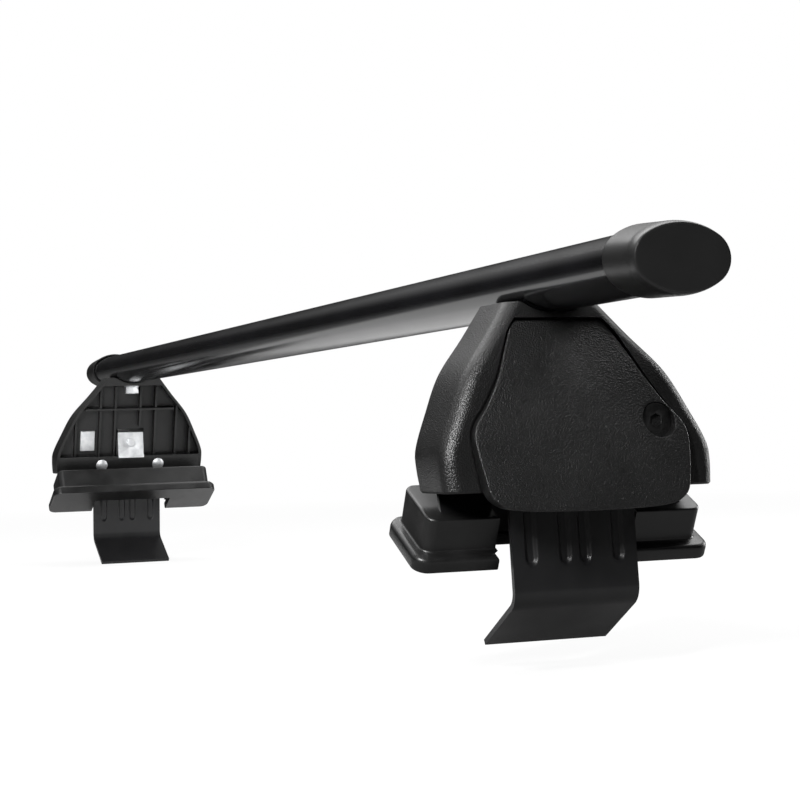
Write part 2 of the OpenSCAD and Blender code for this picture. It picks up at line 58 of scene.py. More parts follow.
# Oval of the tube: four arcs
TUBE_LOW, TUBE_HIGH = node_box("crossbar_tube")
CAP_HIGH = node_box("right_end_cap")[1]
AXIS_Z = (TUBE_LOW[2] + TUBE_HIGH[2]) / 2
TUBE_HALF_W = (TUBE_HIGH[1] - TUBE_LOW[1]) / 2
TUBE_HALF_H = (TUBE_HIGH[2] - TUBE_LOW[2]) / 2
TUBE_WALL = 1.8
END_R = 12.4
END_C = TUBE_HALF_W - END_R
FLAT_C = (END_C ** 2 - (TUBE_HALF_H - END_R) ** 2) / (2 * (TUBE_HALF_H - END_R))
FLAT_R = FLAT_C + TUBE_HALF_H
# Bolt slots, how far a foot slides along them, and the bar's axis over a foot's base
SLOT_HALF, FOOT_TRAVEL, BAR_Z = 4.4, 20, 107.5
# Housing, cover and lock, in a foot's own frame
HOUSING_HALF_W, HOUSING_HALF_D, HOUSING_H = 75.3, 18.45, 97.0
HOUSING_WALL, HOUSING_ROUND, BACK_SLOPE = 3.0, 8.0, 0.31
COVER_HALF_W, COVER_PROUD, COVER_WALL, COVER_GAP = 59.4, 8.0, 2.5, 1.5
COVER_SUNK, RECESS_GAP = 1.1, 0.4
LOCK_V, LOCK_Z, LOCK_POCKET_R = 44.4, 34.0, 9.2
LOCK_HEAD_R, LOCK_SUNK, POCKET_FLOOR, BOSS_WALL, SHANK_R, MOUTH_R = 8.8, 3.5, 1.6, 1.9, 3.4, 0.4
# Hook
FOLD_U, FOLD_DEPTH, FLANGE_LENGTH = 5.3, 57.4, 46.9
HOOK_LEAN, FLANGE_SLOPE = math.radians(4.9), math.radians(30.3)
HOOK_HALF_W, HOOK_T, FOLD_R, HOOK_TOP = 35.2, 3.0, 11.0, 55.5
# Rubber foot
PAD_TILT = math.radians(26.4)
BLOCK_P, FLANGE_P, RIM_Q, PAD_H = -34.6, -35.8, -13.0, 26.6
BLOCK_W, FLANGE_W, FLANGE_T, WEB_T = 38.5, 46.9, 8.0, 21.8
BLOCK_HALF, FLANGE_HALF, NOTCH_HALF = 78.0, 84.0, 38.8


def smooth_lookup(x, points):
    """Value at x of a smooth curve through the points."""
    i = max(0, min(len(points) - 2, sum(x >= p[0] for p in points) - 1))
    (xa, ya), (xb, yb) = points[i], points[i + 1]

    def slope(k):
        if k in (0, len(points) - 1):
            a, b = (points[0], points[1]) if k == 0 else (points[-2], points[-1])
        else:
            a, b = points[k - 1], points[k + 1]
        return (b[1] - a[1]) / (b[0] - a[0])

    h = xb - xa
    t = (x - xa) / h
    return ((2 * t ** 3 - 3 * t ** 2 + 1) * ya + (t ** 3 - 2 * t ** 2 + t) * h * slope(i)
            + (3 * t ** 2 - 2 * t ** 3) * yb + (t ** 3 - t ** 2) * h * slope(i + 1))


WIDTH = [(0, 1), (.12, 1.01), (.22, 1), (.41, .893), (.62, .752), (.82, .537), (1, .353)]
SETBACK = [(-.13, .005), (0, .017), (.21, .043), (.41, .092), (.62, .155), (.82, .245), (1, .325)]
STAND = [(-.12, 1.215), (0, 1.025), (.21, .63), (.3, .51), (.46, .29), (.62, .075), (.78, -.055), (.9, -.23)]
COVER_CURVE = [(0, -.11), (.5, -.104), (.77, -.085), (.886, -.047), (.936, 0), (.972, .11), (.998, .22),
               (1, .29), (.96, .352), (.853, .433), (.758, .52), (.68, .6), (.61, .69), (.53, .79),
               (.465, .865), (.43, .889), (.39, .897), (0, .897)]


def front_u(z):
    return HOUSING_HALF_D - HOUSING_H * smooth_lookup(z / HOUSING_H, SETBACK)


def back_u(z):
    return -HOUSING_HALF_D - BACK_SLOPE * z


def cover_u(z):
    return front_u(z) + COVER_PROUD * smooth_lookup(z / HOUSING_H, STAND)


def cover_base(z):
    return min(front_u(z) - COVER_SUNK, cover_u(z) - COVER_WALL)


def recess_u(z):
    return cover_base(z) - RECESS_GAP


def side_w(z):
    return HOUSING_HALF_W * min(1.01, smooth_lookup(z / HOUSING_H, WIDTH))


def foot_matrix(side):
    """Takes a foot's own frame, in millimetres, to the object's frame, in metres."""
    low, high = node_box(f"{side}_housing")
    reach = HOUSING_HALF_D + BACK_SLOPE * HOUSING_H
    x = low[0] + reach if SIDES[side] > 0 else high[0] - reach
    turn = Matrix.Rotation(0 if SIDES[side] > 0 else math.pi, 4, "Z")
    return Matrix.Scale(MM, 4) @ Matrix.Translation((x, 0, low[2])) @ turn


# Camera of the photograph
FOCAL_PX = 1833.285
IMAGE_PX = 800
CAMERA_AT = (1353.55, -414.54, 123.74)
YAW, PITCH, ROLL = 20.808, 1.102, -1.627


def add_camera():
    data = bpy.data.cameras.new("camera")
    data.sensor_width = 36
    data.lens = FOCAL_PX / IMAGE_PX * data.sensor_width
    data.clip_start, data.clip_end = 0.05, 50
    camera = bpy.data.objects.new("camera", data)
    bpy.context.scene.collection.objects.link(camera)
    yaw, pitch = math.radians(YAW), math.radians(PITCH)
    ahead = Vector((-math.cos(yaw) * math.cos(pitch), math.sin(yaw) * math.cos(pitch), math.sin(pitch)))
    right = ahead.cross(Vector((0, 0, 1))).normalized()
    up = right.cross(ahead)
    roll = math.radians(ROLL)
    right, up = math.cos(roll) * right + math.sin(roll) * up, math.cos(roll) * up - math.sin(roll) * right
    turn = Matrix((right, up, -ahead)).transposed().to_4x4()
    camera.matrix_world = Matrix.Translation(Vector(CAMERA_AT) * MM) @ turn
    bpy.context.scene.camera = camera


# Materials
def linear(hex_colour):
    """sRGB hex to linear RGBA."""
    parts = [int(hex_colour[i:i + 2], 16) / 255 for i in (1, 3, 5)]
    return [p / 12.92 if p <= 0.04045 else ((p + 0.055) / 1.055) ** 2.4 for p in parts] + [1]


def add_node(tree, kind, settings=None, links=None):
    """Adds a node. Settings name its inputs or properties; links name inputs and where they come from."""
    node = tree.nodes.new(kind)
    for name, value in (settings or {}).items():
        if isinstance(name, int) or name in node.inputs:
            node.inputs[name].default_value = value
        else:
            setattr(node, name, value)
    for name, socket in (links or {}).items():
        tree.links.new(socket, node.inputs[name])
    return node


def new_material(name):
    material = bpy.data.materials.new(name)
    material.use_nodes = True
    material.node_tree.nodes.clear()
    return material, material.node_tree


def finish_material(tree, settings, links):
    shader = add_node(tree, "ShaderNodeBsdfPrincipled", settings, links)
    add_node(tree, "ShaderNodeOutputMaterial", {}, {"Surface": shader.outputs[0]})


def spot_noise(tree, size_mm, detail=2.0, roughness=0.5):
    """Noise whose spots are about size_mm across."""
    place = add_node(tree, "ShaderNodeTexCoord")
    return add_node(tree, "ShaderNodeTexNoise",
                    {"Scale": 1 / (size_mm * MM), "Detail": detail, "Roughness": roughness},
                    {"Vector": place.outputs["Object"]})


def blend_colours(tree, factor, low, high):
    ramp = add_node(tree, "ShaderNodeValToRGB", {}, {"Fac": factor})
    ramp.color_ramp.elements[0].color = linear(low)
    ramp.color_ramp.elements[1].color = linear(high)
    ramp.color_ramp.elements[0].position = 0.35
    ramp.color_ramp.elements[1].position = 0.65
    return ramp.outputs["Color"]


def between(tree, factor, low, high):
    """Maps a noise's middle range to low and high."""
    return add_node(tree, "ShaderNodeMapRange",
                    {"From Min": 0.3, "From Max": 0.7, "To Min": low, "To Max": high},
                    {"Value": factor}).outputs["Result"]


def powder_coat():
    """Black polyester powder coat on steel tube: a smooth gloss with a faint orange peel."""
    material, tree = new_material("powder_coated_tube")
    peel = spot_noise(tree, 3.0)
    cloud = spot_noise(tree, 60.0)
    bump = add_node(tree, "ShaderNodeBump", {"Strength": 0.12, "Distance": 0.00004},
                    {"Height": peel.outputs["Fac"]})
    finish_material(tree, {"IOR": 1.5},
                    {"Base Color": blend_colours(tree, cloud.outputs["Fac"], "#0c0c0d", "#121214"),
                     "Roughness": between(tree, cloud.outputs["Fac"], 0.15, 0.2),
                     "Normal": bump.outputs["Normal"]})
    return material


def grained_plastic(name, dark, light, grain_mm, depth_mm, roughness):
    """Black nylon or ABS moulded against a spark-eroded tool: a pebbled grain that glints in low light."""
    # The real grain is too fine to show at this size, so it is drawn coarser
    material, tree = new_material(name)
    place = add_node(tree, "ShaderNodeTexCoord")
    pebble = add_node(tree, "ShaderNodeTexVoronoi",
                      {"feature": "SMOOTH_F1", "Scale": 1 / (grain_mm * MM), "Smoothness": 0.7},
                      {"Vector": place.outputs["Object"]})
    fine = spot_noise(tree, grain_mm * 0.5, 3.0)
    cloud = spot_noise(tree, 25.0)
    height = add_node(tree, "ShaderNodeMath", {"operation": "MULTIPLY_ADD", 1: 0.6},
                      {0: fine.outputs["Fac"], 2: pebble.outputs["Distance"]})
    bump = add_node(tree, "ShaderNodeBump", {"Strength": 1.0, "Distance": depth_mm * MM},
                    {"Height": height.outputs[0]})
    finish_material(tree, {"IOR": 1.5},
                    {"Base Color": blend_colours(tree, fine.outputs["Fac"], dark, light),
                     "Roughness": between(tree, cloud.outputs["Fac"], roughness - 0.04, roughness + 0.05),
                     "Normal": bump.outputs["Normal"]})
    return material


def moulded_rubber():
    """Black EPDM from a polished tool: satin, a little bloomed, with a soft shine on its edges."""
    material, tree = new_material("moulded_rubber")
    bloom = spot_noise(tree, 18.0, 4.0, 0.6)
    # The skin's texture is too fine to show, so it is drawn coarser
    skin = spot_noise(tree, 0.9, 2.0)
    bump = add_node(tree, "ShaderNodeBump", {"Strength": 0.25, "Distance": 0.00005},
                    {"Height": skin.outputs["Fac"]})
    finish_material(tree, {"IOR": 1.52},
                    {"Base Color": blend_colours(tree, bloom.outputs["Fac"], "#0e0e0e", "#171717"),
                     "Roughness": between(tree, bloom.outputs["Fac"], 0.3, 0.42),
                     "Normal": bump.outputs["Normal"]})
    return material


def coated_sheet():
    """Black electrocoat on pressed steel: satin, with a light orange peel."""
    material, tree = new_material("coated_sheet_steel")
    peel = spot_noise(tree, 1.6, 2.0)
    cloud = spot_noise(tree, 30.0)
    bump = add_node(tree, "ShaderNodeBump", {"Strength": 0.2, "Distance": 0.00004},
                    {"Height": peel.outputs["Fac"]})
    finish_material(tree, {"IOR": 1.5},
                    {"Base Color": blend_colours(tree, cloud.outputs["Fac"], "#171718", "#1d1d1e"),
                     "Roughness": between(tree, cloud.outputs["Fac"], 0.32, 0.42),
                     "Normal": bump.outputs["Normal"]})
    return material


def bright_zinc():
    """Clear passivated zinc plate: a pale metal with cloudy patches and faint tool marks."""
    material, tree = new_material("zinc_plated_steel")
    cloud = spot_noise(tree, 5.0, 3.0)
    # Tool marks and crystals are finer than this, which is as coarse as they need to show
    fine = spot_noise(tree, 0.5)
    bump = add_node(tree, "ShaderNodeBump", {"Strength": 0.3, "Distance": 0.00003},
                    {"Height": fine.outputs["Fac"]})
    finish_material(tree, {"Metallic": 1.0},
                    {"Base Color": blend_colours(tree, cloud.outputs["Fac"], "#e2e4e6", "#f2f3f4"),
                     "Roughness": between(tree, cloud.outputs["Fac"], 0.48, 0.6),
                     "Normal": bump.outputs["Normal"]})
    return material


def black_oxide():
    """Black oxide on a steel screw: a dark metal skin with a dull oiled shine."""
    material, tree = new_material("black_oxide_screw")
    cloud = spot_noise(tree, 3.0)
    # The oxide's texture is too fine to show, so it is drawn coarser
    fine = spot_noise(tree, 0.4)
    bump = add_node(tree, "ShaderNodeBump", {"Strength": 0.2, "Distance": 0.00003},
                    {"Height": fine.outputs["Fac"]})
    finish_material(tree, {"IOR": 1.6},
                    {"Base Color": blend_colours(tree, cloud.outputs["Fac"], "#0c0c0c", "#141414"),
                     "Roughness": between(tree, cloud.outputs["Fac"], 0.3, 0.42),
                     "Normal": bump.outputs["Normal"]})
    return material


TUBE_COAT = powder_coat()
HOUSING_PLASTIC = grained_plastic("grained_housing_plastic", "#0a0a0a", "#1a1a1a", 0.75, 0.2, 0.34)
COVER_PLASTIC = grained_plastic("grained_cover_plastic", "#090909", "#1c1c1c", 0.85, 0.32, 0.36)
CAP_PLASTIC = grained_plastic("moulded_cap_plastic", "#181818", "#1e1e1e", 0.5, 0.012, 0.36)
RUBBER = moulded_rubber()
SHEET_COAT = coated_sheet()
ZINC = bright_zinc()
SCREW_BLACK = black_oxide()


# Making pieces
def piece_from(bm, name, material, matrix, smooth_deg=32):
    """Makes a finished object at the origin from a bmesh drawn in millimetres."""
    bmesh.ops.transform(bm, matrix=matrix, verts=bm.verts)
    mesh = bpy.data.meshes.new(name)
    bm.to_mesh(mesh)
    bm.free()
    mesh.shade_smooth()
    mesh.set_sharp_from_angle(angle=math.radians(smooth_deg))
    mesh.materials.append(material)
    piece = bpy.data.objects.new(name, mesh)
    bpy.context.scene.collection.objects.link(piece)
    return piece


def stands_for(piece, node, body):
    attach(piece, body)
    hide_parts(node)


def drawn(bm, node, material, body, matrix, smooth_deg=32):
    """Closes a bmesh drawn in this script, turns its faces outwards and puts it in its node's place."""
    bmesh.ops.remove_doubles(bm, verts=bm.verts, dist=0.002)
    bmesh.ops.dissolve_degenerate(bm, dist=0.001, edges=bm.edges)
    bmesh.ops.recalc_face_normals(bm, faces=bm.faces)
    stands_for(piece_from(bm, node + "_form", material, matrix, smooth_deg), node, body)


def merged_copy(node):
    """The CAD node's mesh as a bmesh in millimetres, with its doubles merged and its flat faces whole."""
    bm = bmesh.new()
    bm.from_mesh(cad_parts[node].data)
    bmesh.ops.scale(bm, vec=(1 / MM, 1 / MM, 1 / MM), verts=bm.verts)
    bmesh.ops.remove_doubles(bm, verts=bm.verts, dist=0.004)
    bmesh.ops.dissolve_limit(bm, angle_limit=math.radians(0.6), verts=bm.verts, edges=bm.edges)
    return bm


def sharp_edges(bm, angle_deg=35):
    return [e for e in bm.edges if len(e.link_faces) == 2 and e.calc_face_angle(0) > math.radians(angle_deg)]


def softened(bm, width, segments=2, angle_deg=35):
    """Rounds the sharp edges."""
    bmesh.ops.bevel(bm, geom=sharp_edges(bm, angle_deg), offset=width, offset_type="OFFSET",
                    segments=segments, profile=0.5, affect="EDGES", clamp_overlap=True, material=-1)


def dressed(node, material, body, width=0.0):
    """A CAD node with rounded edges and smooth shading."""
    bm = merged_copy(node)
    if width:
        softened(bm, width)
    stands_for(piece_from(bm, node + "_skin", material, FRAME_MATRIX), node, body)


def add_ring(bm, points):
    return [bm.verts.new(p) for p in points]


def join_rings(bm, first, second, closed=True):
    """Quads between two rings of as many points."""
    count = len(first)
    for i in range(count if closed else count - 1):
        k = (i + 1) % count
        bm.faces.new((first[i], first[k], second[k], second[i]))


def stack_rings(bm, rings, cap_start=False, cap_end=False):
    made = [add_ring(bm, ring) for ring in rings]
    for first, second in zip(made, made[1:]):
        join_rings(bm, first, second)
    if cap_start:
        bm.faces.new(made[0])
    if cap_end:
        bm.faces.new(made[-1])
    return made


# Tube and end caps
def oval_angles():
    """Angles around each of the oval's four arcs, with the bottom slot's edges among them."""
    turn = math.atan2(FLAT_C, END_C)
    half = math.pi / 2 - turn
    slot = math.asin(SLOT_HALF / FLAT_R)
    fine = [half * k / 12 for k in range(-12, 13)]
    flat = sorted([a for a in fine if abs(abs(a) - slot) > 0.012] + [-slot, slot])
    return [turn * k / 16 for k in range(-16, 16)], flat[:-1]


def oval(grow, lift=0.0):
    """Points (y, z) of the oval moved outwards by grow, from its lower right round by the top."""
    ends, flats = oval_angles()
    points = []
    points += [(END_C + (END_R + grow) * math.cos(a), (END_R + grow) * math.sin(a)) for a in ends]
    points += [(-(FLAT_R + grow) * math.sin(a), (FLAT_R + grow) * math.cos(a) - FLAT_C) for a in flats]
    points += [(-END_C - (END_R + grow) * math.cos(a), -(END_R + grow) * math.sin(a)) for a in ends]
    points += [((FLAT_R + grow) * math.sin(a), FLAT_C - (FLAT_R + grow) * math.cos(a)) for a in flats]
    return [(y, z + lift) for y, z in points]


def crossbar_tube():
    """An open tube with two slots in its underside for the bar bolts."""
    bm = bmesh.new()
    half = TUBE_HIGH[0]
    slots = []
    for side in SIDES:
        low, high = node_box(f"{side}_t_washer")
        middle = (low[0] + high[0]) / 2
        slots.append((middle - FOOT_TRAVEL, middle + FOOT_TRAVEL))
    slots.sort()
    stations = [(-half, 0)] + [stop for a, b in slots for stop in ((a, -1), (b, 1))] + [(half, 0)]
    stations = [stations[0]] + [s for a, b in zip(stations, stations[1:])
                                for s in ([(a[0] + (b[0] - a[0]) * k / 4, 0) for k in (1, 2, 3)]
                                          if b[0] - a[0] > 60 else []) + [b]]
    near_slot = SLOT_HALF + 0.02
    layers = []
    for grow in (0, -TUBE_WALL):
        rings = []
        for x, bow in stations:
            ring = []
            for y, z in oval(grow):
                reach = math.sqrt(max(0, near_slot ** 2 - y * y)) if z < 0 and bow else 0
                ring.append((x + bow * reach, y, z + AXIS_Z))
            rings.append(add_ring(bm, ring))
        layers.append(rings)
    outer, inner = layers
    count = len(outer[0])
    in_slot = [z < 0 and abs(y) < near_slot for y, z in oval(0)]
    for s in range(len(stations) - 1):
        slotted = stations[s][1] == -1 and stations[s + 1][1] == 1
        for i in range(count):
            k = (i + 1) % count
            if slotted and in_slot[i] and in_slot[k]:
                for ring_o, ring_i in ((outer[s], inner[s]), (outer[s + 1], inner[s + 1])):
                    bm.faces.new((ring_o[i], ring_o[k], ring_i[k], ring_i[i]))
                continue
            for rings in layers:
                bm.faces.new((rings[s][i], rings[s][k], rings[s + 1][k], rings[s + 1][i]))
        if slotted:
            edges = [i for i in range(count) if in_slot[i]]
            for i in (edges[0], edges[-1]):
                bm.faces.new((outer[s][i], outer[s + 1][i], inner[s + 1][i], inner[s][i]))
    for s in (0, -1):
        join_rings(bm, outer[s], inner[s])
    return bm


CAP_LENGTH, CAP_ROUND, CAP_END, CAP_GROW, CAP_INSET = 33.0, 9.0, 9.5, 2.5, 2.3
CAP_RISE, CAP_SAG, CAP_WIDEN = 0.5, 1.2, 0.075
SPIGOT_LENGTH, SPIGOT_GAP, SPIGOT_WALL = 14, 0.3, 2.2


def end_cap(side):
    """A sleeve that droops a little outwards, drawn in to a flat end face, with a spigot inside the tube."""
    bm = bmesh.new()
    sign = SIDES[side]
    end = CAP_HIGH[0]

    def ring(x, grow):
        lift = -CAP_SAG - (CAP_RISE + CAP_SAG) * x / CAP_LENGTH
        wide = 1 + CAP_WIDEN * max(0, 1 + x / CAP_ROUND)
        return [(sign * (end + x), y * wide, z + AXIS_Z) for y, z in oval(grow, lift)]

    top = CAP_GROW - CAP_RISE
    rings = [ring(-CAP_END, 0.3), ring(-CAP_END - 1, 0.3), ring(-CAP_LENGTH + 0.4, 0.3),
             ring(-CAP_LENGTH, 0.7)]
    for k in range(4):
        a = math.pi / 2 * (k + 1) / 4
        rings.append(ring(-CAP_LENGTH + 0.8 * (1 - math.cos(a)), top - 0.8 * (1 - math.sin(a))))
    rings.append(ring(-CAP_LENGTH + 2, top))
    top -= 0.25
    rings.append(ring(-CAP_ROUND - 2, top))
    drawn_in = top - (CAP_GROW - CAP_INSET)
    for k in range(13):
        a = math.pi / 2 * k / 13
        rings.append(ring(-CAP_ROUND * (1 - math.sin(a)) - 0.02, top - drawn_in * (1 - math.cos(a))))
    base = CAP_GROW - CAP_INSET
    rings += [ring(-0.12, base + 0.02), ring(0, base - 0.25), ring(0, base - 0.9), ring(0, base - 3)]
    stack_rings(bm, rings, cap_start=True, cap_end=True)
    outside = -TUBE_WALL - SPIGOT_GAP
    inside = outside - SPIGOT_WALL
    start, stop = -CAP_END + 0.05, -CAP_END - SPIGOT_LENGTH
    tail = [(start, outside), (stop, outside), (stop, inside), (start, inside)]
    made = [add_ring(bm, [(sign * (end + x), y, z + AXIS_Z) for y, z in oval(grow)]) for x, grow in tail]
    for i in range(4):
        join_rings(bm, made[i], made[(i + 1) % 4])
    return bm


# Cover
def moved(points, distance):
    """A closed outline moved outwards, square to its own direction."""
    out = []
    for i, p in enumerate(points):
        a, b = Vector(points[i - 1]), Vector(points[(i + 1) % len(points)])
        t = (b - a).normalized()
        out.append((p[0] + distance * t.y, p[1] - distance * t.x))
    return out


def rounded_curve(points, spacing):
    """Even points along a smooth curve through the given ones."""
    pts = [Vector(p) for p in points]
    pts = [2 * pts[0] - pts[1]] + pts + [2 * pts[-1] - pts[-2]]
    dense = []
    for a, b, c, d in zip(pts, pts[1:], pts[2:], pts[3:]):
        ka = (c - a) * (b - c).length / ((c - a).length + 1e-9)
        kb = (d - b) * (b - c).length / ((d - b).length + 1e-9)
        for k in range(16):
            t = k / 16
            dense.append((2 * t ** 3 - 3 * t ** 2 + 1) * b + (t ** 3 - 2 * t ** 2 + t) * ka
                         + (3 * t ** 2 - 2 * t ** 3) * c + (t ** 3 - t ** 2) * kb)
    dense.append(pts[-2])
    lengths = [0]
    for a, b in zip(dense, dense[1:]):
        lengths.append(lengths[-1] + (b - a).length)
    count = max(2, round(lengths[-1] / spacing))
    out, j = [], 0
    for k in range(count + 1):
        at = lengths[-1] * k / count
        while j < len(lengths) - 2 and lengths[j + 1] < at:
            j += 1
        t = (at - lengths[j]) / max(1e-9, lengths[j + 1] - lengths[j])
        out.append(dense[j].lerp(dense[j + 1], min(1, t)))
    return out


def cover_outline():
    """The cover's outline (v, z), counter-clockwise from the middle of its bottom."""
    right = rounded_curve([(c * COVER_HALF_W, z * HOUSING_H) for c, z in COVER_CURVE[:-1]], 1.3)
    top_z = COVER_CURVE[-1][1] * HOUSING_H
    reach = right[-1].x
    top = [(reach * (1 - k / 14), top_z) for k in range(1, 15)]
    half = [tuple(p) for p in right] + top
    half[0] = (0, COVER_CURVE[0][1] * HOUSING_H)
    return half + [(-v, z) for v, z in reversed(half[1:-1])]


def disc(radius, count=64):
    """Points (v, z) of a circle around the lock."""
    turns = [2 * math.pi * k / count for k in range(count)]
    return [(LOCK_V + radius * math.cos(a), LOCK_Z + radius * math.sin(a)) for a in turns]


def sheet_with_hole(bm, loop, hole, u_at, hole_r):
    """A fine triangle sheet between an outline and a round hole; returns both border rings."""
    points = [Vector(p) for p in loop] + [Vector(p) for p in hole]
    n, m = len(loop), len(hole)
    edges = [(i, (i + 1) % n) for i in range(n)] + [(n + i, n + (i + 1) % m) for i in range(m)]
    inside = moved(loop, -2.2)
    z = min(p[1] for p in loop) + 1.6
    while z < max(p[1] for p in loop) - 1.5:
        crossings = []
        for a, b in zip(inside, inside[1:] + inside[:1]):
            if (a[1] - z) * (b[1] - z) < 0:
                crossings.append(a[0] + (b[0] - a[0]) * (z - a[1]) / (b[1] - a[1]))
        if len(crossings) >= 2:
            lo, hi = min(crossings), max(crossings)
            steps = max(1, round((hi - lo) / 3.2))
            for k in range(steps + 1):
                v = lo + (hi - lo) * k / steps
                if math.hypot(v - LOCK_V, z - LOCK_Z) > hole_r + 1.2:
                    points.append(Vector((v, z)))
        z += 1.9
    verts, _, faces, origin, _, _ = delaunay_2d_cdt(points, edges, [], 1, 1e-5)
    made = [bm.verts.new((u_at(p.y), p.x, p.y)) for p in verts]
    for face in faces:
        centre = sum((verts[i] for i in face), Vector((0, 0))) / len(face)
        if math.hypot(centre.x - LOCK_V, centre.y - LOCK_Z) > hole_r * 0.999:
            bm.faces.new([made[i] for i in face])
    place = {}
    for i, sources in enumerate(origin):
        for source in sources:
            place[source] = made[i]
    return [place[i] for i in range(n)], [place[n + i] for i in range(m)]


def cover(lock_floor):
    """A moulded shell with a rolled edge and a deep round pocket for the lock screw."""
    bm = bmesh.new()
    outline = cover_outline()
    edge_r = 0.7

    def wall_ring(inset, u_of):
        return add_ring(bm, [(u_of(z), v, z) for v, z in moved(outline, -inset)])

    rings = [wall_ring(0, cover_base), wall_ring(0, lambda z: (cover_base(z) + cover_u(z)) / 2)]
    for k in range(6):
        a = math.pi / 2 * k / 6
        rings.append(wall_ring(edge_r * (1 - math.cos(a)), lambda z: cover_u(z) - edge_r * (1 - math.sin(a))))
    for first, second in zip(rings, rings[1:]):
        join_rings(bm, first, second)
    mouth_r, boss_r = LOCK_POCKET_R + MOUTH_R, LOCK_POCKET_R + BOSS_WALL
    face_loop, hole_loop = sheet_with_hole(bm, moved(outline, -edge_r), disc(mouth_r), cover_u, mouth_r)
    join_rings(bm, rings[-1], face_loop)
    inner_loop, boss_loop = sheet_with_hole(bm, moved(outline, -COVER_WALL), disc(boss_r),
                                            lambda z: cover_u(z) - COVER_WALL, boss_r)
    inner_rim = wall_ring(COVER_WALL, lambda z: min(cover_base(z), cover_u(z) - COVER_WALL - 0.05))
    join_rings(bm, inner_loop, inner_rim)
    join_rings(bm, inner_rim, rings[0])
    back = lock_floor - POCKET_FLOOR
    pocket = [hole_loop]
    for k in (1, 2, 3):
        a = math.pi / 2 * k / 3
        pocket.append(add_ring(bm, [(cover_u(z) - MOUTH_R * (1 - math.cos(a)), v, z)
                                    for v, z in disc(LOCK_POCKET_R + MOUTH_R * (1 - math.sin(a)))]))
    for radius, u in ((LOCK_POCKET_R, lock_floor), (SHANK_R, lock_floor), (SHANK_R, back), (boss_r, back)):
        pocket.append(add_ring(bm, [(u, v, z) for v, z in disc(radius)]))
    pocket.append(boss_loop)
    for first, second in zip(pocket, pocket[1:]):
        join_rings(bm, first, second)
    return bm


# Housing
SHELF_Z = 88.5
WINDOW_HALF, WINDOW_TOP = 35.7, 61.5
BACK_LEAN = math.atan(BACK_SLOPE)
RIB_SHARES, SHORT_RIB, LEVEL_RIB = (-0.83, -0.63, -0.335, 0.225, 0.43, 0.76), -0.12, (-0.59, 0.64, 0.68)
RIB_DEPTH, RIB_T, BAND_H, SHORT_RIB_LOW = 8.0, 2.2, 17.0, 47.9
SEAT_U, SEAT_HALF, SEAT_LOW, SEAT_HIGH = -24.04, 14.75, 17.35, 44.85


def saddle_top(v):
    """Height of the housing's top at v, where the tube's seat is cut into it."""
    grow, reach = 1.3, abs(v)
    if reach >= END_C + END_R + grow:
        return HOUSING_H
    if reach <= END_C * (FLAT_R + grow) / (FLAT_R - END_R):
        depth = math.sqrt((FLAT_R + grow) ** 2 - reach ** 2) - FLAT_C
    else:
        depth = math.sqrt((END_R + grow) ** 2 - (reach - END_C) ** 2)
    return min(HOUSING_H, BAR_Z - depth)


def recess_half():
    """The recess's half width at a height, as a function."""
    right = sorted([(z, v) for v, z in moved(cover_outline(), COVER_GAP) if v > 0 and z < SHELF_Z - 0.2])

    def at(z):
        for (za, va), (zb, vb) in zip(right, right[1:]):
            if za <= z <= zb:
                return va + (vb - va) * (z - za) / max(1e-6, zb - za)
        return right[-1][1]
    return at


def housing_section(z, half_at, recessed, w, r, uf, inner):
    """One level's path (u, v) from the back left corner round the front to the back right corner."""
    left = []
    ub = back_u(z)
    for k in range(5):
        left.append((ub + (uf - r - ub) * k / 5, -w))
    for k in range(11):
        a = math.pi / 2 * k / 10
        left.append((uf - r + r * math.sin(a), -w + r - r * math.cos(a)))
    edge = min(half_at(min(z, SHELF_Z - 0.3)), w - r - 0.15)
    start = w - r
    left += [(uf, -start + (start - edge) * k / 3) for k in (1, 2)]
    jamb = min(WINDOW_HALF, edge * 0.88)
    floor = recess_u(z) if recessed and not inner else uf
    left += [(uf, -edge), (floor, -edge), (floor, -(edge + jamb) / 2), (floor, -jamb)]
    middle = [(floor, -jamb + 2 * jamb * k / 24) for k in range(1, 24)]
    return left + middle + [(u, -v) for u, v in reversed(left)], len(left) - 1


